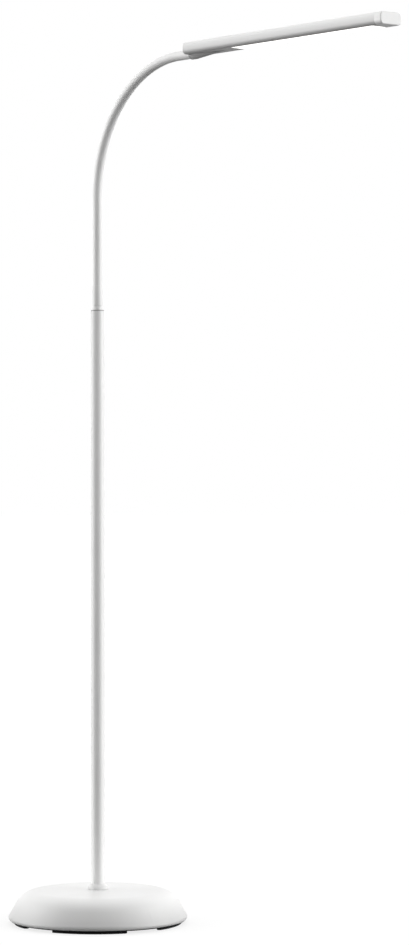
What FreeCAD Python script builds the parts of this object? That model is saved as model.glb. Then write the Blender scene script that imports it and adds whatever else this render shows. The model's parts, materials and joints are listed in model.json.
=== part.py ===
import FreeCAD, Part
import math
import os

# A reading floor lamp: a domed round base, a slim pole, a bendable neck and a
# long narrow LED head. Millimetres, +Z up, the origin on the floor under the
# pole's axis, and +X the way the head points.

# ---- Clearances -------------------------------------------------------------
slip = 0.1            # between a piece and the bore or slot that it sits in
thread_gap = 0.05     # between a thread's two plain cylinders
joint_gap = 0.3       # between two stretches of the neck that turn on each other
overrun = 1.0         # a cutting shape runs this far past what it cuts

# ---- Base -------------------------------------------------------------------
base_d = 250.0        # widest diameter
base_h = 47.0         # floor to the flat seat under the pole
dome_crown_r = 2600.0
dome_shoulder_r = 30.5
dome_shoulder_in = 38.0   # the shoulder's centre, in from the widest diameter
dome_edge_r = 4.5
dome_edge_drop = 3.7  # from the widest point down to the rim
rim_above_cover = 1.3
shell_t = 1.5
base_turn = -4.6      # the base's own left-right plane against the head's

pad_h = 4.0
pad_w = 8.0
pad_in = 8.0          # the pads' outer arc, in from the widest diameter
pad_arc = 54.0        # degrees of ring in each pad
pad_pitch = 80.0      # degrees from pad to pad, which leaves a gap at the cord
pad_count = 4

cover_t = 1.5
cover_in = 0.6        # the black cover stands back from the rim
weight_in = 11.0      # the weight, in from the widest diameter
weight_t = 12.5
clamp_t = 15.5        # iron between the nut's recess and the shell
boss_d = 48.0
boss_top_in = 1.5     # the boss's top, in from the shell's flat seat
plate_screw_d = 3.0
plate_screw_head_d = 5.7
plate_screw_len = 9.0
plate_screw_in = 35.0
plate_screw_count = 4

# ---- Lead and its gland -----------------------------------------------------
lead_d = 4.0
lead_room = 0.2       # round the lead in the gland and the neck
lead_groove_room = 0.5
lead_groove_under = 1.7   # from the cover up to the lead
lead_turn_r = 10.0
lead_straight = 8.0   # out of the gland, before it turns down
lead_drop = 12.0      # the stretch where it goes down into the groove
gland_z = 14.0
gland_d = 11.0
gland_flange_w = 2.0
gland_len = 21.0
gland_notch_room = 2.0
gland_notch_len = 26.0    # of the weight's notch, in from the gland

# ---- Pole and its fixings ---------------------------------------------------
pole_d = 19.0
pole_wall = 1.2
pole_len = 809.0
foot_bush_len = 28.0
tie_d = 10.0          # the hollow threaded tube that ties pole, base and weight
tie_bore_d = 6.4
tie_below_nut = 2.0
nut_across_flats = 14.0
nut_sides = 6
nut_t = 5.0
washer_d = 22.0
washer_t = 2.0
nut_recess_room = 2.0 # round the washer
collar_lip_w = 4.8    # the lip, out from the pole
collar_seat_room = 0.7    # of the shell's flat seat, round the lip
collar_lip_h = 4.2
collar_h = 7.8
collar_top_wall = 0.8

# ---- Neck -------------------------------------------------------------------
top_bush_len = 22.0
top_bush_flange_t = 1.4
top_bush_flange_inset = 0.3
lock_ring_t = 4.6
ferrule_wall = 0.6    # round the neck
ferrule_groove_in = 0.7
ferrule_groove_h = 1.3
ferrule_body_h = 22.2
ferrule_chamfer_h = 6.5
ferrule_tip_wall = 0.35
ferrule_tail_len = 20.0
ferrule_seat = 6.5    # from the groove up to where the neck's end stands

neck_d = 13.0
neck_sleeve_wall = 1.9
neck_rise = 124.0     # straight stretch above the ferrule
neck_bend_r = 179.5   # then a quarter turn
neck_reach = 28.5     # then a straight stretch to the head
neck_grip = 8.0       # of the neck held in the head's saddle
joint_count = 8
joint_first = 25.0    # along the neck from the ferrule to the first bending place
joint_last = 25.0     # from the last bending place to the head
joint_ball_over = 1.5 # the joints' ball, out from the neck's surface

# ---- Head -------------------------------------------------------------------
head_len = 391.0
head_w = 36.0
head_h = 16.5
head_corner_r = 5.5
head_drop = 2.0       # underside below the neck's axis
head_wall = 1.3
head_ceiling_t = 3.0  # thick, since it carries off the lamps' heat
slot_flat = 0.25      # flat left each side of the underside's slot
rear_cap_t = 3.0
front_cap_t = 12.0
cap_edge_r = 1.5
cap_spigot_t = 2.0
cap_spigot_over = 1.0 # the spigot is this much longer than the tongue
front_tongue_len = 10.0
slot_gap = 0.2        # between the housing's lips and the flanges above them
slot_flange_t = 1.0   # flanges of the cover and the diffuser

saddle_wall = 1.2     # round the neck
saddle_straight = 9.0 # before it tapers
saddle_len = 69.0
saddle_tip_r = 3.4
saddle_block_over = 8.0   # the block goes on past the neck's end fitting
saddle_screw_d = 3.0
saddle_screw_head_d = 5.5
saddle_screw_head_h = 2.0
saddle_screw_in = 5.2 # from the housing's inner wall
ceiling_thread = 2.25 # of the saddle's screws in the ceiling
end_fitting_len = 6.0
grub_d = 4.0
grub_len = 4.5

led_board_w = 12.0
led_board_t = 1.2
led_board_margin = 4.0
led_count = 24
led_size = (3.5, 2.8, 0.8)

driver_x = 37.0       # from the head's rear end to the driver board
driver_len = 50.0
driver_w = 20.0
driver_t = 1.2
driver_front_room = 8.0   # from the board to the diffuser
driver_post_h = 2.2
driver_post_d = 3.0
driver_post_in = 6.0  # from the board's ends
driver_post_y = 7.7
coil_w = 7.0
coil_h = 4.0
coil_x = 36.0         # these three are measured along the board
capacitor_x = 27.0
chip_x = 45.0
capacitor_d = 4.0
capacitor_len = 6.5
chip_w = 4.0
chip_h = 1.5
led_lead_d = 1.2
led_lead_spacing = 3.0
led_lead_end = 5.0    # straight at each end
led_lead_turn_r = 3.0
head_lead_end = 5.0
head_lead_turn_r = 4.0

button_x = 14.0       # along the driver board
button_d = 9.0
button_proud = 0.9
button_travel = 0.5
button_flange_d = 11.4
button_flange_t = 0.8
switch_w = 6.0
switch_h = 3.4
plunger_d = 3.4
plunger_depth = 1.2

# ---- What follows from them -------------------------------------------------
base_r = base_d / 2
pole_r = pole_d / 2
collar_lip_r = pole_r + collar_lip_w
seat_r = collar_lip_r + collar_seat_room
cover_z = pad_h
rim_z = cover_z + rim_above_cover
dome_edge_z = rim_z + dome_edge_drop
weight_z = cover_z + cover_t
weight_top_z = weight_z + weight_t
boss_top_z = base_h - shell_t
nut_recess_z = boss_top_z - clamp_t
nut_recess_r = washer_d / 2 + nut_recess_room
nut_z = nut_recess_z - washer_t - nut_t
tie_z = nut_z - tie_below_nut
gland_angle = 180 + base_turn
gland_inner_r = base_r - gland_len
gland_flange_r = gland_d / 2 + gland_flange_w
lead_low_z = weight_z + lead_groove_under + lead_d / 2
lead_hole_r = lead_d / 2 + lead_room
pole_top_z = base_h + pole_len
ferrule_z = pole_top_z + top_bush_flange_t + lock_ring_t
neck_z = ferrule_z + ferrule_groove_h + ferrule_body_h + ferrule_chamfer_h
neck_foot_z = ferrule_z + ferrule_groove_h + ferrule_seat
bend_z = neck_z + neck_rise
neck_axis_z = bend_z + neck_bend_r
bend_len = neck_bend_r * math.pi / 2
neck_len = neck_rise + bend_len + neck_reach
joint_pitch = (neck_len - joint_first - joint_last) / (joint_count - 1)
joint_ball_r = neck_d / 2 + joint_ball_over
ferrule_d = neck_d + 2 * (slip + ferrule_wall)
ferrule_groove_d = ferrule_d - 2 * ferrule_groove_in
core_d = neck_d - 2 * neck_sleeve_wall - 2 * slip
head_x = neck_bend_r + neck_reach
head_z = neck_axis_z - head_drop
head_top_z = head_z + head_h
lip_top_z = head_z + head_wall
flange_z = lip_top_z + slot_gap
inner_top_z = head_top_z - head_ceiling_t
slot_w = head_w - 2 * (head_corner_r + slot_flat)
# The slot plates' flanges reach out to the housing's rounded inner corners.
flange_drop = head_corner_r - head_wall - slot_gap
flange_reach = math.sqrt((head_corner_r - head_wall) ** 2 - flange_drop ** 2)
slot_flange_w = head_w - 2 * head_corner_r + 2 * (flange_reach - slip)
tip_x = head_x + head_len
front_cap_x = tip_x - front_cap_t
tongue_x = front_cap_x - front_tongue_len
driver_start = head_x + driver_x
driver_end = driver_start + driver_len
driver_z = flange_z + slot_flange_t + driver_post_h
switch_z = driver_z + driver_t
diffuser_x = driver_end + driver_front_room
button_centre_x = driver_start + button_x
button_bottom_z = inner_top_z - slip - button_flange_t
block_x = head_x + rear_cap_t
block_z = flange_z + slot_flange_t + slip
end_fitting_x = head_x + neck_grip
boss_end_x = end_fitting_x + end_fitting_len
block_end_x = boss_end_x + saddle_block_over
saddle_r = neck_d / 2 + slip + saddle_wall
led_start = diffuser_x + led_board_margin
led_end = tongue_x - led_board_margin
led_board_z = inner_top_z - led_board_t

UP = FreeCAD.Vector(0, 0, 1)
ALONG = FreeCAD.Vector(1, 0, 0)
ACROSS = FreeCAD.Vector(0, 1, 0)
ORIGIN = FreeCAD.Vector(0, 0, 0)


# ---- Shapes used again and again --------------------------------------------
def at(x, y, z):
    return FreeCAD.Vector(x, y, z)


def rod(start, direction, length, radius):
    """A plain cylinder from start along direction."""
    return Part.makeCylinder(radius, length, start, direction)


def upright(radius, z0, z1, x=0.0, y=0.0):
    return rod(at(x, y, z0), UP, z1 - z0, radius)


def ring(outer_r, inner_r, z0, z1):
    return upright(outer_r, z0, z1).cut(upright(inner_r, z0, z1))


def cone(r0, r1, z0, z1, x=0.0, y=0.0):
    return Part.makeCone(r0, r1, z1 - z0, at(x, y, z0), UP)


def block(x0, x1, width, z0, z1):
    """A box centred on Y = 0."""
    return Part.makeBox(x1 - x0, width, z1 - z0, at(x0, -width / 2, z0))


def around(count, pitch, start):
    """The angles, in degrees, of count places pitch apart."""
    return [start + pitch * number for number in range(count)]


def polar(radius, angle):
    turn = math.radians(angle)
    return radius * math.cos(turn), radius * math.sin(turn)


def line(start, end):
    return Part.LineSegment(start, end).toShape()


def arc(start, middle, end):
    return Part.Arc(start, middle, end).toShape()


def revolved(edges):
    """The solid that a closed outline beside the Z axis sweeps out."""
    wire = Part.Wire(Part.__sortEdges__(edges))
    return Part.Face(wire).revolve(ORIGIN, UP, 360)


def joined(shapes):
    whole = shapes[0]
    for shape in shapes[1:]:
        whole = whole.fuse(shape)
    return whole.removeSplitter()


def bar(width, height, corner_r, x0, x1, z0):
    """A bar along X whose section is a rectangle with rounded corners."""
    body = block(x0, x1, width, z0, z0 + height)
    long_edges = [e for e in body.Edges if abs(e.tangentAt(e.FirstParameter).x) > 0.99]
    return body.makeFillet(corner_r, long_edges)


def tube_along(points, radius, turn_radii):
    """A round cord along straight runs, with an arc tangent to both runs at each corner."""
    edges = []
    last = points[0]
    for number, turn_r in enumerate(turn_radii, start=1):
        corner = points[number]
        back = (points[number - 1] - corner).normalize()
        on = (points[number + 1] - corner).normalize()
        half = back.getAngle(on) / 2
        reach = turn_r / math.tan(half)
        middle_way = (back + on).normalize()
        start = corner + back * reach
        end = corner + on * reach
        middle = corner + middle_way * (turn_r / math.sin(half) - turn_r)
        edges += [line(last, start), arc(start, middle, end)]
        last = end
    edges.append(line(last, points[-1]))
    path = Part.Wire(edges)
    circle = Part.makeCircle(radius, points[0], points[1] - points[0])
    return path.makePipeShell([Part.Wire(circle)], True, False)


def save(name, shape):
    shape.exportStep("parts/" + name + ".step")
    print(name, len(shape.Solids), round(shape.Volume, 1))


# ---- Base -------------------------------------------------------------------
def dome_edges(inset):
    """The dome's half section from the axis to the rim, moved inwards by inset.

    Flat seat, crown arc, shoulder arc, straight flare, edge arc. Returns the
    edges and their two ends.
    """
    crown_z = base_h - math.sqrt(dome_crown_r ** 2 - seat_r ** 2)
    shoulder_x = base_r - dome_shoulder_in
    shoulder_rise = math.sqrt((dome_crown_r - dome_shoulder_r) ** 2 - shoulder_x ** 2)
    shoulder = (shoulder_x, crown_z + shoulder_rise)
    edge = (base_r - dome_edge_r, dome_edge_z)
    lean = math.atan2(edge[1] - shoulder[1], edge[0] - shoulder[0])
    apart = math.hypot(edge[0] - shoulder[0], edge[1] - shoulder[1])
    flare = lean + math.acos((dome_shoulder_r - dome_edge_r) / apart)
    top = math.atan2(shoulder[1] - crown_z, shoulder[0])
    rim = math.asin((rim_z - dome_edge_z) / dome_edge_r)

    def on_arc(centre, radius, angle):
        reach = radius - inset
        return at(centre[0] + reach * math.cos(angle), 0, centre[1] + reach * math.sin(angle))

    seat_z = base_h - inset
    inner_crown = dome_crown_r - inset
    seat_edge_r = math.sqrt(inner_crown ** 2 - (seat_z - crown_z) ** 2)
    seat_edge = at(seat_edge_r, 0, seat_z)
    seat_turn = math.atan2(seat_z - crown_z, seat_edge_r)
    crown_end = on_arc((0, crown_z), dome_crown_r, top)
    shoulder_end = on_arc(shoulder, dome_shoulder_r, flare)
    flare_end = on_arc(edge, dome_edge_r, flare)
    rim_end = on_arc(edge, dome_edge_r, rim)
    edges = [
        line(at(0, 0, seat_z), seat_edge),
        arc(seat_edge, on_arc((0, crown_z), dome_crown_r, (top + seat_turn) / 2), crown_end),
        arc(crown_end, on_arc(shoulder, dome_shoulder_r, (top + flare) / 2), shoulder_end),
        line(shoulder_end, flare_end),
        arc(flare_end, on_arc(edge, dome_edge_r, (flare + rim) / 2), rim_end),
    ]
    return edges, at(0, 0, seat_z), rim_end


def dome_core(inset):
    """Everything under the dome surface, down to its rim."""
    edges, top, rim = dome_edges(inset)
    foot = at(0, 0, rim.z)
    return revolved(edges + [line(rim, foot), line(foot, top)])


def towards_gland(radius, z):
    x, y = polar(radius, gland_angle)
    return at(x, y, z)


def along_gland(start_r, end_r, z, radius):
    return rod(towards_gland(start_r, z), towards_gland(1, 0), end_r - start_r, radius)


def turned_to_gland(shape):
    """Turns a shape modelled along +X to the side where the cord comes in."""
    shape.rotate(ORIGIN, UP, gland_angle)
    return shape


def base_shell():
    outer, outer_top, outer_rim = dome_edges(0)
    inner, inner_top, inner_rim = dome_edges(shell_t)
    shell = revolved(outer + inner + [line(outer_rim, inner_rim), line(outer_top, inner_top)])
    shell = shell.cut(upright(tie_d / 2 + slip, 0, base_h))
    return shell.cut(along_gland(gland_inner_r, base_r + overrun, gland_z, gland_d / 2 + slip))


def cord_gland():
    nose = along_gland(gland_inner_r, base_r, gland_z, gland_d / 2)
    flange = along_gland(gland_inner_r, base_r, gland_z, gland_flange_r)
    flange = flange.common(dome_core(shell_t + slip))
    bore = along_gland(gland_inner_r, base_r, gland_z, lead_hole_r)
    return joined([nose, flange]).cut(bore)


def plate_screw_places():
    pitch = 360 / plate_screw_count
    spots = around(plate_screw_count, pitch, gland_angle + pitch / 2)
    return [polar(base_r - plate_screw_in, angle) for angle in spots]


def base_weight():
    weight = upright(base_r - weight_in, weight_z, weight_top_z)
    boss = cone(boss_d / 2, seat_r - boss_top_in, weight_top_z, boss_top_z)
    weight = joined([weight, boss])
    weight = weight.cut(upright(nut_recess_r, weight_z, nut_recess_z))
    weight = weight.cut(upright(tie_d / 2 + slip, weight_z, base_h))
    groove_top_z = lead_low_z + lead_d / 2 + lead_room
    groove = block(0, base_r, lead_d + 2 * lead_groove_room, weight_z, groove_top_z)
    notch_w = 2 * (gland_flange_r + gland_notch_room)
    notch = block(gland_inner_r - gland_notch_len, base_r, notch_w, weight_z, weight_top_z)
    weight = weight.cut(turned_to_gland(groove)).cut(turned_to_gland(notch))
    for x, y in plate_screw_places():
        hole_top = cover_z + plate_screw_len + slip
        weight = weight.cut(upright(plate_screw_d / 2 + thread_gap, weight_z, hole_top, x, y))
    return weight


def plate_screw(x, y, grown=0.0):
    """A countersunk screw, its head flush with the cover's underside."""
    head = cone(plate_screw_head_d / 2 + grown, plate_screw_d / 2 + grown,
                cover_z, weight_z, x, y)
    shank = upright(plate_screw_d / 2 + grown, cover_z, cover_z + plate_screw_len, x, y)
    return joined([head, shank])


def base_plate_screws():
    return Part.makeCompound([plate_screw(x, y) for x, y in plate_screw_places()])


def base_plate():
    rim = dome_edges(shell_t)[2]
    plate = upright(rim.x - cover_in, cover_z, weight_z)
    for x, y in plate_screw_places():
        plate = plate.cut(plate_screw(x, y, thread_gap))
    return plate


def foot_pads():
    pads = []
    outer_r = base_r - pad_in
    spread = pad_pitch * (pad_count - 1)
    for angle in around(pad_count, pad_pitch, base_turn - spread / 2 - pad_arc / 2):
        pad = Part.makeCylinder(outer_r, pad_h, ORIGIN, UP, pad_arc)
        pad = pad.cut(upright(outer_r - pad_w, 0, pad_h))
        pad.rotate(ORIGIN, UP, angle)
        pads.append(pad)
    return Part.makeCompound(pads)


# ---- Pole -------------------------------------------------------------------
def pole_nut():
    corner_r = nut_across_flats / 2 / math.cos(math.pi / nut_sides)
    turns = around(nut_sides + 1, 360 / nut_sides, 0)
    corners = [at(*polar(corner_r, angle), nut_z) for angle in turns]
    nut = Part.Face(Part.makePolygon(corners)).extrude(UP * nut_t)
    return nut.cut(upright(tie_d / 2 + thread_gap, nut_z, nut_z + nut_t))


def pole_washer():
    return ring(washer_d / 2, tie_d / 2 + slip, nut_recess_z - washer_t, nut_recess_z)


def tie_tube():
    return ring(tie_d / 2, tie_bore_d / 2, tie_z, base_h + foot_bush_len - slip)


def pole_foot_bush():
    return ring(pole_r - pole_wall - thread_gap, tie_d / 2 + thread_gap,
                base_h, base_h + foot_bush_len)


def pole_tube():
    return ring(pole_r, pole_r - pole_wall, base_h, pole_top_z)


def base_collar():
    lip = upright(collar_lip_r, base_h, base_h + collar_lip_h)
    slope = cone(collar_lip_r, pole_r + collar_top_wall,
                 base_h + collar_lip_h, base_h + collar_h)
    return joined([lip, slope]).cut(upright(pole_r + slip, base_h, base_h + collar_h))


def pole_top_bush():
    plug = upright(pole_r - pole_wall - thread_gap, pole_top_z - top_bush_len, pole_top_z)
    flange = upright(pole_r - top_bush_flange_inset, pole_top_z, pole_top_z + top_bush_flange_t)
    hole = upright(tie_d / 2 + thread_gap, pole_top_z - top_bush_len,
                   pole_top_z + top_bush_flange_t)
    return joined([plug, flange]).cut(hole)


def neck_lock_ring():
    return ring(ferrule_d / 2, tie_d / 2 + thread_gap, ferrule_z - lock_ring_t, ferrule_z)


def neck_ferrule():
    body_z = ferrule_z + ferrule_groove_h
    top_z = body_z + ferrule_body_h
    tip_r = neck_d / 2 + slip + ferrule_tip_wall
    ferrule = joined([
        upright(tie_d / 2, ferrule_z - ferrule_tail_len, ferrule_z),
        upright(ferrule_groove_d / 2, ferrule_z, body_z),
        upright(ferrule_d / 2, body_z, top_z),
        cone(ferrule_d / 2, tip_r, top_z, neck_z),
    ])
    ferrule = ferrule.cut(upright(neck_d / 2 + slip, neck_foot_z, neck_z))
    return ferrule.cut(upright(lead_hole_r, ferrule_z - ferrule_tail_len, neck_z))


# ---- Neck -------------------------------------------------------------------
def neck_place(along):
    """The point and the direction of the neck's centre line, along it from the ferrule."""
    if along <= neck_rise:
        return at(0, 0, neck_z + along), at(0, 0, 1)
    if along >= neck_rise + bend_len:
        return at(neck_bend_r + along - neck_rise - bend_len, 0, neck_axis_z), at(1, 0, 0)
    turn = (along - neck_rise) / neck_bend_r
    point = at(neck_bend_r * (1 - math.cos(turn)), 0, bend_z + neck_bend_r * math.sin(turn))
    return point, at(math.sin(turn), 0, math.cos(turn))


def neck_rod(start, end, radius):
    """A round bar that follows the neck from start to end."""
    pieces = []
    bend_end = neck_rise + bend_len
    for low, high, bent in [
        (start, min(end, neck_rise), False),
        (max(start, neck_rise), min(end, bend_end), True),
        (max(start, bend_end), end, False),
    ]:
        if high - low < 0.001:
            continue
        point, direction = neck_place(low)
        disc = Part.Face(Part.Wire(Part.makeCircle(radius, point, direction)))
        if bent:
            turn = math.degrees((high - low) / neck_bend_r)
            pieces.append(disc.revolve(at(neck_bend_r, 0, bend_z), ACROSS, turn))
        else:
            pieces.append(disc.extrude(direction * (high - low)))
    return joined(pieces)


neck_start = neck_foot_z - neck_z
neck_end = neck_len + neck_grip
bending_places = [joint_first + joint_pitch * number for number in range(joint_count)]


def ball(along, radius):
    return Part.makeSphere(radius, *neck_place(along))


def below_ball(along):
    """What has to go from under a stretch, so that it ends in a ball about its bending place."""
    reach = joint_ball_r + 2 * overrun
    rest = neck_rod(along - reach, along, neck_d / 2 + overrun)
    return rest.cut(ball(along, joint_ball_r))


def neck_stretch(number, outer_r, inner_r=0.0, start=neck_start, end=neck_end):
    """Stretch number of the neck, ball-ended below and cup-ended above."""
    if number > 0:
        start = bending_places[number - 1] - joint_ball_r - overrun
    if number < joint_count:
        end = bending_places[number]
    stretch = neck_rod(start, end, outer_r)
    if inner_r:
        stretch = stretch.cut(neck_rod(start - overrun, end + overrun, inner_r))
    if number > 0:
        stretch = stretch.cut(below_ball(bending_places[number - 1]))
    if number < joint_count:
        stretch = stretch.cut(ball(bending_places[number], joint_ball_r + joint_gap))
    return stretch


def neck_sleeve(number):
    return neck_stretch(number, neck_d / 2, neck_d / 2 - neck_sleeve_wall)


def neck_core(number):
    return neck_stretch(number, core_d / 2, lead_hole_r)


def neck_lead(number):
    return neck_stretch(number, lead_d / 2)


def stand_lead():
    """From the gland through the weight's groove, and up the pole to the first bending place."""
    corners = [
        towards_gland(gland_inner_r, gland_z),
        towards_gland(gland_inner_r - lead_straight, gland_z),
        towards_gland(gland_inner_r - lead_straight - lead_drop, lead_low_z),
        at(0, 0, lead_low_z),
        at(0, 0, neck_z + bending_places[0]),
    ]
    lead = tube_along(corners, lead_d / 2, [lead_turn_r, lead_turn_r, lead_turn_r])
    return lead.cut(ball(bending_places[0], joint_ball_r + joint_gap))


# ---- Head: what holds the neck ----------------------------------------------
def saddle_body(grown=0.0):
    """A round boss that tapers away into the head's underside."""
    taper_x = head_x + saddle_straight
    ends = [
        (saddle_r, at(taper_x, 0, neck_axis_z)),
        (saddle_tip_r, at(head_x + saddle_len, 0, head_z + saddle_tip_r)),
    ]
    circles = [Part.Wire(Part.makeCircle(radius + grown, centre, ALONG))
               for radius, centre in ends]
    boss = rod(at(head_x - grown, 0, neck_axis_z), ALONG,
               saddle_straight + grown, saddle_r + grown)
    return joined([boss, Part.makeLoft(circles, True)])


def saddle_screw_places():
    x = (boss_end_x + block_end_x) / 2
    y = head_w / 2 - head_wall - saddle_screw_in
    return [(x, side * y) for side in (-1, 1)]


def neck_saddle():
    gripped = head_cavity(block_x, block_end_x, slip)
    gripped = gripped.cut(block(block_x, block_end_x, head_w, head_z, block_z))
    body = saddle_body().cut(block(block_end_x, tip_x, head_w, block_z, head_top_z))
    saddle = joined([body, gripped])
    saddle = saddle.cut(rod(at(head_x, 0, neck_axis_z), ALONG,
                            neck_grip + end_fitting_len, neck_d / 2 + slip))
    lead_way = tube_along(head_lead_corners(), lead_hole_r, [lead_turn_r, head_lead_turn_r])
    saddle = saddle.cut(lead_way)
    grub_x = end_fitting_x + end_fitting_len / 2
    saddle = saddle.cut(upright(grub_d / 2 + thread_gap, neck_axis_z, inner_top_z, grub_x))
    for x, y in saddle_screw_places():
        head_top = block_z + saddle_screw_head_h
        saddle = saddle.cut(upright(saddle_screw_head_d / 2 + slip, block_z, head_top, x, y))
        saddle = saddle.cut(upright(saddle_screw_d / 2 + slip, block_z, inner_top_z, x, y))
    return saddle


def saddle_screws():
    screws = []
    for x, y in saddle_screw_places():
        head_top = block_z + saddle_screw_head_h
        shank_top = inner_top_z + ceiling_thread
        screws.append(joined([
            upright(saddle_screw_head_d / 2, block_z, head_top, x, y),
            upright(saddle_screw_d / 2, block_z, shank_top, x, y),
        ]))
    return Part.makeCompound(screws)


def saddle_grub_screw():
    grub_x = end_fitting_x + end_fitting_len / 2
    start = neck_axis_z + neck_d / 2
    return upright(grub_d / 2, start, start + grub_len, grub_x)


def neck_end_fitting():
    fitting = rod(at(end_fitting_x, 0, neck_axis_z), ALONG, end_fitting_len, neck_d / 2)
    return fitting.cut(rod(at(end_fitting_x, 0, neck_axis_z), ALONG,
                           end_fitting_len, lead_hole_r))


# ---- Head: housing, caps and what fills its slot -----------------------------
def head_lead_corners():
    """From the neck's last bending place, through the saddle, up to the driver board's edge."""
    board_z = driver_z + driver_t / 2
    return [
        neck_place(bending_places[-1] - joint_ball_r)[0],
        at(boss_end_x + lead_d / 2, 0, neck_axis_z),
        at(driver_start - head_lead_end, 0, board_z),
        at(driver_start, 0, board_z),
    ]


def head_lead():
    lead = tube_along(head_lead_corners(), lead_d / 2, [lead_turn_r, head_lead_turn_r])
    return lead.cut(below_ball(bending_places[-1]))


def housing_section(x0, x1, inset):
    """The housing's outline, moved inwards, between two places along it."""
    return bar(head_w - 2 * inset, head_h - 2 * inset, head_corner_r - inset, x0, x1, head_z + inset)


def head_cavity(x0, x1, inset=0.0):
    """The room inside the housing, under its thick ceiling."""
    room = housing_section(x0, x1, head_wall + inset)
    return room.cut(block(x0, x1, head_w, inner_top_z - inset, head_top_z))


def head_housing():
    x0 = head_x + rear_cap_t
    x1 = front_cap_x
    housing = housing_section(x0, x1, 0).cut(head_cavity(x0, x1))
    housing = housing.cut(block(x0, x1, slot_w, head_z, lip_top_z))
    for x, y in saddle_screw_places():
        top = inner_top_z + ceiling_thread + slip
        housing = housing.cut(upright(saddle_screw_d / 2 + thread_gap, inner_top_z, top, x, y))
    return housing.cut(upright(button_d / 2 + slip, inner_top_z, head_top_z, button_centre_x))


def rounded_end(cap, face_x):
    """Rounds the edges of a cap's end face."""
    rim = [e for e in cap.Edges if abs(e.BoundBox.XMin - face_x) < 0.01
           and abs(e.BoundBox.XMax - face_x) < 0.01]
    return cap.makeFillet(cap_edge_r, rim)


def head_front_cap():
    cap = rounded_end(housing_section(front_cap_x, tip_x, 0), tip_x)
    inner_x = tongue_x - cap_spigot_over
    spigot = head_cavity(inner_x, front_cap_x, slip)
    flange_top_z = flange_z + slot_flange_t
    hollow = block(inner_x, front_cap_x, head_w - 2 * (head_wall + slip + cap_spigot_t),
                   flange_top_z, inner_top_z - cap_spigot_t)
    spigot = spigot.cut(hollow)
    spigot = spigot.cut(block(inner_x, tongue_x + slip, head_w, head_z, flange_top_z + slip))
    tongue = block(tongue_x + slip, front_cap_x, slot_w - 2 * slip, head_z, flange_z)
    return joined([cap, spigot, tongue])


def head_rear_cap():
    cap = rounded_end(housing_section(head_x, head_x + rear_cap_t, 0), head_x)
    return cap.cut(saddle_body(slip))


def slot_plate(x0, x1):
    """A plate that fills the slot, with flanges that lie on the housing's lips."""
    plate = block(x0, x1, slot_w - 2 * slip, head_z, flange_z)
    flange = block(x0, x1, slot_flange_w, flange_z, flange_z + slot_flange_t)
    return joined([plate, flange])


def driver_post_places():
    places = (driver_start + driver_post_in, driver_end - driver_post_in)
    return [(x, side * driver_post_y) for x in places for side in (-1, 1)]


def head_bottom_cover():
    cover = slot_plate(head_x + rear_cap_t + slip, diffuser_x - slip)
    posts = [upright(driver_post_d / 2, flange_z, driver_z, x, y)
             for x, y in driver_post_places()]
    cover = joined([cover] + posts)
    return cover.cut(saddle_body(slip))


def diffuser():
    return slot_plate(diffuser_x + slip, tongue_x - slip)


# ---- Head: lamps, driver and switch -------------------------------------------
def led_board():
    return block(led_start, led_end, led_board_w, led_board_z, inner_top_z)


def led_chips():
    length, width, depth = led_size
    pitch = (led_end - led_start) / led_count
    chips = []
    for number in range(led_count):
        middle = led_start + pitch * (number + 0.5)
        chips.append(block(middle - length / 2, middle + length / 2, width,
                           led_board_z - depth, led_board_z))
    return Part.makeCompound(chips)


def driver_board():
    return block(driver_start, driver_end, driver_w, driver_z, switch_z)


def on_board(x, width, height):
    """A square block on the driver board, its middle x along the board."""
    middle = driver_start + x
    return block(middle - width / 2, middle + width / 2, width, switch_z, switch_z + height)


def driver_parts():
    """A coil, two capacitors and a control chip on the driver board."""
    coil = on_board(coil_x, coil_w, coil_h)
    chip = on_board(chip_x, chip_w, chip_h)
    middle = at(driver_start + capacitor_x, 0, switch_z + capacitor_d / 2)
    capacitors = [rod(middle + ACROSS * (side * capacitor_d / 4), ACROSS * side,
                      capacitor_len, capacitor_d / 2) for side in (-1, 1)]
    return Part.makeCompound([coil, chip] + capacitors)


def led_leads():
    """Two thin leads from the driver board's front edge up to the lamp board's rear edge."""
    low_z = driver_z + driver_t / 2
    high_z = led_board_z + led_board_t / 2
    leads = []
    for side in (-1, 1):
        y = side * led_lead_spacing / 2
        corners = [
            at(driver_end, y, low_z),
            at(driver_end + led_lead_end, y, low_z),
            at(led_start - led_lead_end, y, high_z),
            at(led_start, y, high_z),
        ]
        leads.append(tube_along(corners, led_lead_d / 2, [led_lead_turn_r, led_lead_turn_r]))
    return Part.makeCompound(leads)


def switch_body():
    x0 = button_centre_x - switch_w / 2
    body = block(x0, x0 + switch_w, switch_w, switch_z, switch_z + switch_h)
    well = upright(plunger_d / 2 + slip, switch_z + switch_h - plunger_depth,
                   switch_z + switch_h, button_centre_x)
    return body.cut(well)


def switch_plunger():
    foot_z = switch_z + switch_h - plunger_depth + button_travel + slip
    return upright(plunger_d / 2, foot_z, button_bottom_z, button_centre_x)


def button_cap():
    stem = upright(button_d / 2, button_bottom_z, head_top_z + button_proud, button_centre_x)
    top_edge = [e for e in stem.Edges if e.BoundBox.ZMin > head_top_z]
    stem = stem.makeFillet(button_proud / 2, top_edge)
    flange = upright(button_flange_d / 2, button_bottom_z, inner_top_z - slip, button_centre_x)
    return joined([stem, flange])


# ---- The parts --------------------------------------------------------------
os.makedirs("parts", exist_ok=True)

single_parts = [
    base_shell, base_weight, base_plate, foot_pads, base_plate_screws, cord_gland,
    base_collar, tie_tube, pole_nut, pole_washer, pole_foot_bush, pole_tube, pole_top_bush,
    neck_lock_ring, neck_ferrule, stand_lead,
    neck_saddle, saddle_screws, saddle_grub_screw, neck_end_fitting, head_lead,
    head_housing, head_front_cap, head_rear_cap, head_bottom_cover, diffuser,
    led_board, led_chips, driver_board, driver_parts, led_leads,
    switch_body, switch_plunger, button_cap,
]
for make in single_parts:
    save(make.__name__, make())

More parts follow.
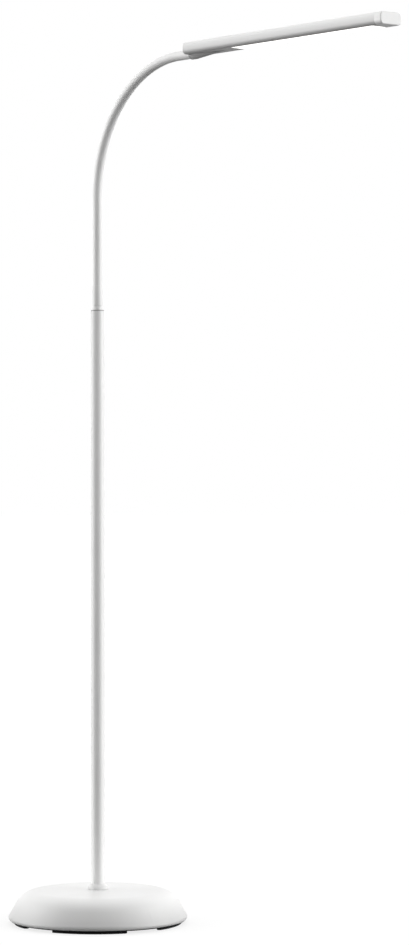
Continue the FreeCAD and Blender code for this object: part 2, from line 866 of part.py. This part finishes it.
for number in range(joint_count + 1):
    save(f"neck_sleeve_{number}", neck_sleeve(number))
    save(f"neck_core_{number}", neck_core(number))
for number in range(1, joint_count):
    save(f"neck_lead_{number}", neck_lead(number))

for number, along in enumerate(bending_places, start=1):
    place, direction = neck_place(along)
    print("bending place", number, [round(v, 4) for v in place], [round(v, 5) for v in direction])
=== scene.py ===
import json
import math

import bpy
from mathutils import Matrix, Quaternion, Vector

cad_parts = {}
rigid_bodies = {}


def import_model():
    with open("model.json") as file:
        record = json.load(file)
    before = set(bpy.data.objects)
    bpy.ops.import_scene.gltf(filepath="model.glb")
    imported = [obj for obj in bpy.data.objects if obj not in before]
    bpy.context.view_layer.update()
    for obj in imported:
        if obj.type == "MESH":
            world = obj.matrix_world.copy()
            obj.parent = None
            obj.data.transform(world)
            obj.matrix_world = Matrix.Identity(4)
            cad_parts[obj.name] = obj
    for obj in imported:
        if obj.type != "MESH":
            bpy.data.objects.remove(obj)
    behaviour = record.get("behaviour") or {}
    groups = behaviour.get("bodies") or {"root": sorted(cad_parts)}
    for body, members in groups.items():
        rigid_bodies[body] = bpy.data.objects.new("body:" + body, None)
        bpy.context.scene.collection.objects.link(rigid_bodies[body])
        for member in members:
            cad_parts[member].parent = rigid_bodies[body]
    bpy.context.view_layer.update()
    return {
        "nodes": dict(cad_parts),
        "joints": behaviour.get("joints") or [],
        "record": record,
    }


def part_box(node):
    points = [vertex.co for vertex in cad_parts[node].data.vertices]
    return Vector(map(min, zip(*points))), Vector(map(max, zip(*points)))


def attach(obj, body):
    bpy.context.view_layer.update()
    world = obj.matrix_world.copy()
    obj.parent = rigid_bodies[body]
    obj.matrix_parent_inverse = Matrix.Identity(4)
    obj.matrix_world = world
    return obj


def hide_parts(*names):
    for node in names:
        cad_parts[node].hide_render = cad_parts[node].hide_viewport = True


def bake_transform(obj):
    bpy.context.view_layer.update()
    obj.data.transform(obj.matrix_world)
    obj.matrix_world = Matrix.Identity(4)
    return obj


# A white reading floor lamp: a domed base, a slim pole, a bendable neck and a
# long narrow head whose underside glows. Metres, in the CAD model's frame: the
# origin on the floor under the pole, +Z up, +X the way the head points.

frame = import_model()
nodes = frame["nodes"]
mm = 0.001


# ---- What the CAD model gives -------------------------------------------------
def low(node):
    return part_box(node)[0]


def high(node):
    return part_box(node)[1]


chain = ["stand"] + [f"neck_link_{number}" for number in range(1, 8)] + ["head"]
hinges = {joint["parent"]: Vector(joint["pos_m"])
          for joint in frame["joints"] if joint["type"] == "hinge"}

base_r = high("base_shell").y
pole_r = high("pole_tube").x
pole_foot_z, pole_top_z = low("pole_tube").z, high("pole_tube").z
ferrule_z, neck_z = high("neck_lock_ring").z, high("neck_ferrule").z
neck_axis_z = (low("neck_end_fitting").z + high("neck_end_fitting").z) / 2
neck_r = high("neck_end_fitting").y
head_x, head_z = low("head_rear_cap").x, low("head_housing").z

neck_bend_r = 179.5 * mm              # the centre line's, as in the CAD model
base_turn = -4.6                      # degrees, the base against the head


# ---- Camera, floor, backdrop and light ------------------------------------------
camera_place = Vector((3.582, -2.809, 0.630))
camera_bearing = math.radians(50)     # round from looking along +Y
camera_lens = 123.8                   # mm
camera_frame = 36                     # mm, the picture's long side
camera_clip = (0.1, 200)
camera_shift = -0.00079               # of the frame, sideways
camera_roll = -0.0008                 # radians

to_camera = Vector((math.sin(camera_bearing), -math.cos(camera_bearing), 0))
picture_right = Vector((math.cos(camera_bearing), math.sin(camera_bearing), 0))


def make_camera():
    data = bpy.data.cameras.new("camera")
    data.lens = camera_lens
    data.sensor_width = camera_frame
    data.clip_start, data.clip_end = camera_clip
    camera = bpy.data.objects.new("camera", data)
    camera.location = camera_place
    camera.rotation_mode = "QUATERNION"
    level = (-to_camera).to_track_quat("-Z", "Y")
    camera.rotation_quaternion = level @ Quaternion((0, 0, 1), camera_roll)
    data.shift_x = camera_shift
    bpy.context.scene.collection.objects.link(camera)
    bpy.context.scene.camera = camera


def light_direction(bearing, height):
    """Towards a light: its bearing from the camera's, positive to the right, and its height."""
    turn, lift = math.radians(bearing), math.radians(height)
    level = to_camera * math.cos(turn) + picture_right * math.sin(turn)
    return level * math.cos(lift) + Vector((0, 0, math.sin(lift)))


# Soft boxes as lobes of the surroundings: bearing, height, sharpness, strength.
soft_boxes = {
    "right": (80, 10, 8, 5.0),
    "left": (-90, 10, 8, 4.5),
    "overhead": (180, 70, 4, 0.7),
    "behind": (180, 20, 2, 0.85),
}
fill_light = 0.084                    # from every side
sky_light = 0.143                     # added to it above the horizon
horizon_blur = 0.17                   # how gradually that begins, as a sine


class Shader:
    """A node tree that is built one node at a time."""

    def __init__(self, tree):
        self.tree = tree
        tree.nodes.clear()

    def node(self, kind, inputs=None, **settings):
        """Adds a node. An input is a number, a colour or another node's output."""
        made = self.tree.nodes.new(kind)
        for name, value in settings.items():
            setattr(made, name, value)
        for name, value in (inputs or {}).items():
            if isinstance(value, bpy.types.NodeSocket):
                self.tree.links.new(value, made.inputs[name])
            else:
                made.inputs[name].default_value = value
        return made

    def math(self, operation, first, second=0.0):
        return self.node("ShaderNodeMath", {0: first, 1: second}, operation=operation).outputs[0]


def make_surroundings():
    world = bpy.data.worlds.new("studio")
    world.use_nodes = True
    bpy.context.scene.world = world
    shader = Shader(world.node_tree)
    towards = shader.node("ShaderNodeTexCoord").outputs["Generated"]

    def facing(direction):
        dot = shader.node("ShaderNodeVectorMath", {0: towards, 1: direction},
                          operation="DOT_PRODUCT").outputs["Value"]
        return shader.math("MAXIMUM", dot, 0.0)

    level = shader.node("ShaderNodeVectorMath", {0: towards, 1: (0, 0, 1)},
                        operation="DOT_PRODUCT").outputs["Value"]
    above = shader.node("ShaderNodeMapRange", {
        "Value": level, "From Min": -horizon_blur, "From Max": horizon_blur,
        "To Min": fill_light, "To Max": fill_light + sky_light}).outputs["Result"]
    total = above
    for bearing, height, sharpness, strength in soft_boxes.values():
        lobe = shader.math("POWER", facing(light_direction(bearing, height)), sharpness)
        total = shader.math("ADD", total, shader.math("MULTIPLY", lobe, strength))
    background = shader.node("ShaderNodeBackground", {"Color": (1, 1, 1, 1), "Strength": total})
    shader.node("ShaderNodeOutputWorld", {"Surface": background.outputs[0]})


def seen_only(obj):
    """A stage object that the camera sees, but that sends no light to the lamp."""
    obj.visible_diffuse = False
    obj.visible_glossy = False
    obj.visible_transmission = False
    obj.visible_shadow = False


def make_object(name, verts, faces):
    mesh = bpy.data.meshes.new(name)
    mesh.from_pydata([tuple(v) for v in verts], [], faces)
    mesh.update()
    obj = bpy.data.objects.new(name, mesh)
    bpy.context.scene.collection.objects.link(obj)
    return obj


def round_points(rings, sides):
    """Points of rings about the Z axis, each given by its radius and height."""
    turns = [2 * math.pi * side / sides for side in range(sides)]
    return [(r * math.cos(turn), r * math.sin(turn), z) for r, z in rings for turn in turns]


def ring_faces(rings, sides, closed=False):
    """Faces from each ring of points to the next; closed joins the last to the first."""
    faces = []
    for ring in range(rings if closed else rings - 1):
        following = (ring + 1) % rings
        for side in range(sides):
            after = (side + 1) % sides
            faces.append((ring * sides + side, ring * sides + after,
                          following * sides + after, following * sides + side))
    return faces


stage_sides = 64
floor_rings = [45.0, 5.0, 1.5, 0.5, 0.2, 0.0]
floor_grey, floor_glow = 0.22, 0.78
dome_r, dome_levels, dome_sunk = 44.0, 16, 0.5


def make_floor():
    """A wide pale floor, mostly self-lit like an overexposed sweep, so shadows stay faint."""
    verts = round_points([(r, 0) for r in floor_rings], stage_sides)
    floor = make_object("floor", verts, ring_faces(len(floor_rings), stage_sides))
    material = bpy.data.materials.new("pale_floor")
    material.use_nodes = True
    shader = Shader(material.node_tree)
    pale = shader.node("ShaderNodeBsdfDiffuse", {"Color": (floor_grey, floor_grey, floor_grey, 1)})
    glow = shader.node("ShaderNodeEmission", {"Color": (1, 1, 1, 1), "Strength": floor_glow})
    both = shader.node("ShaderNodeAddShader", {0: pale.outputs[0], 1: glow.outputs[0]})
    shader.node("ShaderNodeOutputMaterial", {"Surface": both.outputs[0]})
    floor.data.materials.append(material)
    seen_only(floor)


def make_backdrop():
    """A white dome far outside the lamp."""
    lifts = [math.pi / 2 * level / dome_levels for level in range(dome_levels + 1)]
    rings = [(dome_r * math.cos(lift), dome_r * math.sin(lift) - dome_sunk) for lift in lifts]
    dome = make_object("backdrop", round_points(rings, stage_sides),
                       ring_faces(len(rings), stage_sides))
    material = bpy.data.materials.new("white_backdrop")
    material.use_nodes = True
    shader = Shader(material.node_tree)
    glow = shader.node("ShaderNodeEmission", {"Color": (1, 1, 1, 1), "Strength": 1.0})
    shader.node("ShaderNodeOutputMaterial", {"Surface": glow.outputs[0]})
    dome.data.materials.append(material)
    seen_only(dome)


# ---- Finishes -----------------------------------------------------------------------
tone_spread = 0.02                    # of the colour, to each side
rough_spread = 0.06                   # of roughness, to each side
broad_grain = 25                      # the broad texture's size, in grains
noise_low, noise_high = 0.3, 0.7      # the part of the noise that sets the roughness


def finish(name, colour, roughness, grain, depth, metallic=0.0, shade=None, **sockets):
    """A procedural finish: grain is the size of its texture and depth its height, in metres.

    shade is (lower height, upper height, share): painted shade that darkens the colour by
    that share from the upper height down to the lower one, standing in for less light there.
    """
    material = bpy.data.materials.new(name)
    material.use_nodes = True
    shader = Shader(material.node_tree)
    place = shader.node("ShaderNodeTexCoord").outputs["Object"]

    def noise(size, detail):
        return shader.node("ShaderNodeTexNoise", {
            "Vector": place, "Scale": 1 / size, "Detail": detail}).outputs["Fac"]

    fine, broad = noise(grain, 3.0), noise(grain * broad_grain, 2.0)
    darker = [channel * (1 - tone_spread) for channel in colour] + [1]
    lighter = [min(1.0, channel * (1 + tone_spread)) for channel in colour] + [1]
    tone = shader.node("ShaderNodeMix", {0: broad, 6: darker, 7: lighter}, data_type="RGBA")
    # Painted shade: the colour is multiplied darker towards the lower height.
    if shade:
        shade_low, shade_high, share = shade
        height = shader.node("ShaderNodeSeparateXYZ", {0: place}).outputs[2]
        # light is the painted shade factor, not a lamp.
        light = shader.node("ShaderNodeMapRange", {
            "Value": height, "From Min": shade_low, "From Max": shade_high,
            "To Min": 1 - share, "To Max": 1.0}).outputs[0]
        tone = shader.node("ShaderNodeMix", {0: 1.0, 6: tone.outputs[2], 7: light},
                           data_type="RGBA", blend_type="MULTIPLY")
    rough = shader.node("ShaderNodeMapRange", {
        "Value": fine, "From Min": noise_low, "From Max": noise_high,
        "To Min": roughness - rough_spread, "To Max": roughness + rough_spread})
    bump = shader.node("ShaderNodeBump", {"Height": fine, "Distance": depth, "Strength": 1.0})
    surface = shader.node("ShaderNodeBsdfPrincipled", {
        "Base Color": tone.outputs[2], "Roughness": rough.outputs[0],
        "Normal": bump.outputs[0], "Metallic": metallic})
    for socket, value in sockets.items():
        surface.inputs[socket.replace("_", " ")].default_value = value
    shader.node("ShaderNodeOutputMaterial", {"Surface": surface.outputs[0]})
    return material


# Painted shade: the base and the head are darker towards their undersides (lower height, upper
# height, share).
base_painted_shade = (5 * mm, 40 * mm, 0.35)
head_painted_shade = (head_z + 1 * mm, head_z + 14 * mm, 0.42)
white = (0.78, 0.78, 0.775)
finishes = {
    # Copies of the white with painted shade towards the undersides.
    "base_white_painted_shade": finish("base_white_painted_shade", white, 0.38, 1.2 * mm, 0.008 * mm, shade=base_painted_shade),
    "head_white_painted_shade": finish("head_white_painted_shade", white, 0.40, 0.9 * mm, 0.008 * mm, shade=head_painted_shade),
    "white_steel": finish("white_steel", white, 0.38, 1.2 * mm, 0.008 * mm),
    "white_aluminium": finish("white_aluminium", white, 0.40, 0.9 * mm, 0.010 * mm),
    "white_plastic": finish("white_plastic", white, 0.42, 0.35 * mm, 0.010 * mm),
    "white_sleeve": finish("white_sleeve", white, 0.48, 0.8 * mm, 0.004 * mm),
    "diffuser_plastic": finish("diffuser_plastic", (0.9, 0.9, 0.88), 0.5, 0.5 * mm, 0.03 * mm,
                               Emission_Color=(1.0, 0.985, 0.95, 1), Emission_Strength=1.6),
    "black_plastic": finish("black_plastic", (0.008, 0.008, 0.009), 0.6, 0.4 * mm, 0.02 * mm,
                            Specular_IOR_Level=0.1),
    "black_rubber": finish("black_rubber", (0.008, 0.008, 0.009), 0.8, 0.5 * mm, 0.03 * mm,
                           Specular_IOR_Level=0.1),
    "iron": finish("iron", (0.12, 0.12, 0.12), 0.6, 1.5 * mm, 0.1 * mm, metallic=1.0),
    "steel": finish("steel", (0.6, 0.6, 0.6), 0.3, 0.6 * mm, 0.004 * mm, metallic=1.0),
    # Painted shadow: a flat dark grey for the line at the top of the pole.
    "painted_shadow_grey": finish("painted_shadow_grey", (0.32, 0.32, 0.32), 0.45, 0.6 * mm, 0.004 * mm),
    "lead_jacket": finish("lead_jacket", (0.7, 0.7, 0.69), 0.5, 0.6 * mm, 0.01 * mm),
    "lamp_board": finish("lamp_board", (0.85, 0.85, 0.85), 0.35, 0.6 * mm, 0.004 * mm),
    "lamp_yellow": finish("lamp_yellow", (0.9, 0.7, 0.2), 0.3, 0.5 * mm, 0.004 * mm),
    "driver_board_green": finish("driver_board_green", (0.02, 0.16, 0.06), 0.35, 0.8 * mm, 0.01 * mm),
    "dark_parts": finish("dark_parts", (0.03, 0.03, 0.03), 0.4, 0.5 * mm, 0.01 * mm),
}


# CAD nodes whose white carries painted shade towards their undersides.
painted_shade_nodes = {"base_shell": "base_white_painted_shade", "head_housing": "head_white_painted_shade",
                "head_rear_cap": "head_white_painted_shade", "head_bottom_cover": "head_white_painted_shade",
                "neck_saddle": "head_white_painted_shade"}


def dress_cad_nodes():
    """Gives each CAD node the finish of its material slot, or a white with painted shade."""
    for subpart in frame["record"]["subparts"]:
        name = subpart["node"]
        for slot in nodes[name].material_slots:
            slot.material = finishes[painted_shade_nodes.get(name, subpart["material_slot"])]


def place_piece(piece, body, slot, *replaced, look=None):
    """Gives a piece its finish and its body; it stands for the replaced CAD nodes.

    look names a finish other than the slot's own.
    """
    piece.data.materials.append(finishes[look or slot])
    if body:
        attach(piece, body)
    if replaced:
        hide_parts(*replaced)


sharp_angle = 35                      # degrees; a sharper edge isn't smoothed


def smooth(piece):
    piece.data.shade_smooth()
    piece.data.set_sharp_from_angle(angle=math.radians(sharp_angle))


# ---- Neck ------------------------------------------------------------------------------
bend_z = neck_axis_z - neck_bend_r
neck_rise = bend_z - neck_z
neck_bend_len = neck_bend_r * math.pi / 2
neck_len = neck_rise + neck_bend_len + head_x - neck_bend_r
sleeve_wall = 1.9 * mm
sleeve_sides, sleeve_pitch = 48, 1.5 * mm
sleeve_foot = low("neck_sleeve_0").z - neck_z      # along the neck from the ferrule's top
sleeve_end = neck_len + high("neck_sleeve_8").x - head_x
bend_reach = 21 * mm                               # the foot piece ends this far, and foot_gap more, before the first joint
foot_gap = 1 * mm                                  # from the foot piece's end to the first bend


def neck_place(along):
    """The point and the direction of the neck's centre line."""
    if along <= neck_rise:
        return Vector((0, 0, neck_z + along)), Vector((0, 0, 1))
    if along >= neck_rise + neck_bend_len:
        run = along - neck_rise - neck_bend_len
        return Vector((neck_bend_r + run, 0, neck_axis_z)), Vector((1, 0, 0))
    turn = (along - neck_rise) / neck_bend_r
    point = Vector((neck_bend_r * (1 - math.cos(turn)), 0, bend_z + neck_bend_r * math.sin(turn)))
    return point, Vector((math.sin(turn), 0, math.cos(turn)))


def sleeve_piece(name, start, end):
    """One stretch of the sleeve: a tube with a wall, closed at both ends."""
    steps = max(2, round((end - start) / sleeve_pitch))
    alongs = [start + (end - start) * step / steps for step in range(steps + 1)]
    rings = [(along, neck_r) for along in alongs]
    rings += [(along, neck_r - sleeve_wall) for along in reversed(alongs)]
    across = Vector((0, 1, 0))
    verts = []
    for along, radius in rings:
        centre, forward = neck_place(along)
        up = forward.cross(across)
        for side in range(sleeve_sides):
            turn = 2 * math.pi * side / sleeve_sides
            verts.append(centre + radius * (across * math.cos(turn) + up * math.sin(turn)))
    piece = make_object(name, verts, ring_faces(len(rings), sleeve_sides, closed=True))
    smooth(piece)
    return piece


def make_sleeve():
    """The smooth sleeve: its pieces meet between the joints."""
    first = hinges[chain[0]].z - neck_z
    last = neck_len - (head_x - hinges[chain[-2]].x)
    count = len(chain) - 1
    pitch = (last - first) / (count - 1)
    places = [first + pitch * number for number in range(count)]
    breaks = [first - bend_reach - foot_gap] + [place + pitch / 2 for place in places[:-1]]
    foot = sleeve_piece("sleeve_0", sleeve_foot, breaks[0])
    place_piece(foot, "stand", "white_sleeve", "neck_sleeve_0")
    for number, place in enumerate(places, start=1):
        end = breaks[number] if number < count else sleeve_end
        piece = sleeve_piece(f"sleeve_{number}", breaks[number - 1], end)
        place_piece(piece, None, "white_sleeve", f"neck_sleeve_{number}")
        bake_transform(piece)


# ---- Turned pieces on the pole ---------------------------------------------------------
side_share = 0.45                     # of a side, the most that one corner's rounding takes


def rounded_outline(corners, radius, steps=5):
    """A closed outline whose corners are rounded, each by no more than its sides allow."""
    points = []
    for number, corner in enumerate(corners):
        corner = Vector(corner)
        before = Vector(corners[number - 1]) - corner
        after = Vector(corners[(number + 1) % len(corners)]) - corner
        reach = min(radius, before.length * side_share, after.length * side_share)
        start = corner + before.normalized() * reach
        end = corner + after.normalized() * reach
        for step in range(steps + 1):
            share = step / steps
            points.append(start * (1 - share) ** 2 + corner * 2 * share * (1 - share)
                          + end * share ** 2)
    return points


def turned(name, corners, radius, sides=96):
    """A piece turned about the Z axis from a closed outline of (radius, height)."""
    outline = rounded_outline(corners, radius)
    piece = make_object(name, round_points(outline, sides),
                        ring_faces(len(outline), sides, closed=True))
    smooth(piece)
    return piece


tie_hole_r = 5.05 * mm
pole_wall, bush_gap = 1.2 * mm, 0.05 * mm
pole_edge_r, bush_edge_r, ring_edge_r = 0.3 * mm, 0.2 * mm, 0.5 * mm


def make_pole():
    inner_r = pole_r - pole_wall
    tube = turned("pole", [(inner_r, pole_foot_z), (pole_r, pole_foot_z),
                           (pole_r, pole_top_z), (inner_r, pole_top_z)], pole_edge_r)
    place_piece(tube, "stand", "white_steel", "pole_tube")


def make_collar():
    """The ring round the pole's foot: a fine step at its foot, a rounded lip and a cone."""
    foot, top = low("base_collar").z, high("base_collar").z
    lip_r = high("base_collar").x
    hole_r, rim_r = pole_r + 0.1 * mm, pole_r + 0.8 * mm
    lip_top = foot + 4.2 * mm
    step_r, step_top, lip_foot = lip_r - 0.4 * mm, foot + 0.5 * mm, foot + 0.6 * mm
    edge_r = 0.9 * mm
    collar = turned("collar", [
        (hole_r, foot), (step_r, foot), (step_r, step_top), (lip_r, lip_foot),
        (lip_r, lip_top), (rim_r, top), (hole_r, top)], edge_r)
    place_piece(collar, "stand", "white_steel", "base_collar")


def make_top_bush():
    foot, top = low("pole_top_bush").z, high("pole_top_bush").z
    flange_r = high("pole_top_bush").x
    plug_r = pole_r - pole_wall - bush_gap
    bush = turned("top_bush", [
        (tie_hole_r, foot), (plug_r, foot), (plug_r, pole_top_z),
        (flange_r, pole_top_z), (flange_r, top), (tie_hole_r, top)], bush_edge_r)
    # A real flange, drawn flat dark grey instead of its slot's steel, as a painted shadow line at the
    # pole's top.
    place_piece(bush, "stand", "steel", "pole_top_bush", look="painted_shadow_grey")


def make_lock_ring():
    foot, top = low("neck_lock_ring").z, high("neck_lock_ring").z
    ring_r = high("neck_lock_ring").x
    ring = turned("lock_ring", [
        (tie_hole_r, foot), (ring_r, foot), (ring_r, top), (tie_hole_r, top)], ring_edge_r)
    place_piece(ring, "stand", "white_steel", "neck_lock_ring")


def make_ferrule():
    """The collar that holds the neck: a groove below, a long body and a chamfer above."""
    foot, top = low("neck_ferrule").z, high("neck_ferrule").z
    body_r = high("neck_ferrule").x
    groove_r, groove_top = body_r - 0.7 * mm, ferrule_z + 1.3 * mm
    lead_hole_r, plug_r = 2.2 * mm, 5.0 * mm
    seat_r, seat_z = neck_r + 0.1 * mm, groove_top + 6.5 * mm
    rim_r, chamfer_foot = neck_r + 0.45 * mm, top - 6.5 * mm
    edge_r = 0.45 * mm
    ferrule = turned("ferrule", [
        (lead_hole_r, foot), (plug_r, foot), (plug_r, ferrule_z), (groove_r, ferrule_z),
        (groove_r, groove_top), (body_r, groove_top), (body_r, chamfer_foot), (rim_r, top),
        (seat_r, top), (seat_r, seat_z), (lead_hole_r, seat_z)], edge_r)
    place_piece(ferrule, "stand", "white_steel", "neck_ferrule")


# ---- Under the base ----------------------------------------------------------------------
pad_arc, pad_pitch, pad_count = 54, 80, 4          # degrees, degrees, pieces
pad_w, pad_inset = 8 * mm, 8 * mm
pad_groove, pad_edge_r, pad_edge_steps = 0.5 * mm, 0.6 * mm, 3
pad_steps = 40
pad_end_w = 0.2                                    # the width at a pad's very end, of its own


def make_pads():
    """Four soft arcs with rounded edges and ends, and a shallow groove along each sole."""
    top = high("foot_pads").z
    outer_r = base_r - pad_inset
    sole = [(0, 0), (0.36, 0), (0.42, pad_groove), (0.58, pad_groove), (0.64, 0), (1, 0),
            (1, top), (0, top)]
    verts, faces = [], []
    for pad in range(pad_count):
        middle = base_turn + pad_pitch * (pad - (pad_count - 1) / 2)
        first = len(verts)
        for step in range(pad_steps + 1):
            share = step / pad_steps
            from_end = min(share, 1 - share) * math.radians(pad_arc) * outer_r
            narrowed = max(0.0, 1 - from_end / (pad_w / 2))
            width = pad_w * math.sqrt(max(pad_end_w ** 2, 1 - narrowed ** 2))
            section = [(outer_r - pad_w / 2 + width * (across - 0.5), z) for across, z in sole]
            outline = rounded_outline(section, pad_edge_r, pad_edge_steps)
            turn = math.radians(middle + pad_arc * (share - 0.5))
            verts += [(r * math.cos(turn), r * math.sin(turn), z) for r, z in outline]
        count = len(outline)
        for step in range(pad_steps):
            for point in range(count):
                a = first + step * count + point
                b = first + step * count + (point + 1) % count
                faces.append((a, a + count, b + count, b))
        faces.append(tuple(first + point for point in range(count)))
        last = first + pad_steps * count
        faces.append(tuple(last + point for point in reversed(range(count))))
    pads = make_object("pads", verts, faces)
    smooth(pads)
    place_piece(pads, "stand", "black_rubber", "foot_pads")


# ---- Button --------------------------------------------------------------------------------
def make_button():
    """A cap with a dished top, over its flange."""
    foot, top = low("button_cap").z, high("button_cap").z
    flange_r = (high("button_cap").x - low("button_cap").x) / 2
    middle_x = (high("button_cap").x + low("button_cap").x) / 2
    cap_r, flange_top = 4.5 * mm, foot + 0.8 * mm
    rim_r, dish_r = cap_r - 1.2 * mm, cap_r - 2.2 * mm
    dish_z, dish_middle_z = top - 0.35 * mm, top - 0.45 * mm
    pin = 0.05 * mm                   # the outline stays this far from the axis
    edge_r = 0.35 * mm
    button = turned("button", [
        (pin, foot), (flange_r, foot), (flange_r, flange_top), (cap_r, flange_top),
        (cap_r, top), (rim_r, top), (dish_r, dish_z), (pin, dish_middle_z)], edge_r, sides=64)
    button.data.transform(Matrix.Translation((middle_x, 0, 0)))
    place_piece(button, "button", "white_plastic", "button_cap")


# ---- The scene ------------------------------------------------------------------------------
bpy.context.scene.view_settings.view_transform = "Standard"
make_camera()
make_surroundings()
make_floor()
make_backdrop()
dress_cad_nodes()
make_pole()
make_collar()
make_top_bush()
make_lock_ring()
make_ferrule()
make_sleeve()
make_pads()
make_button()
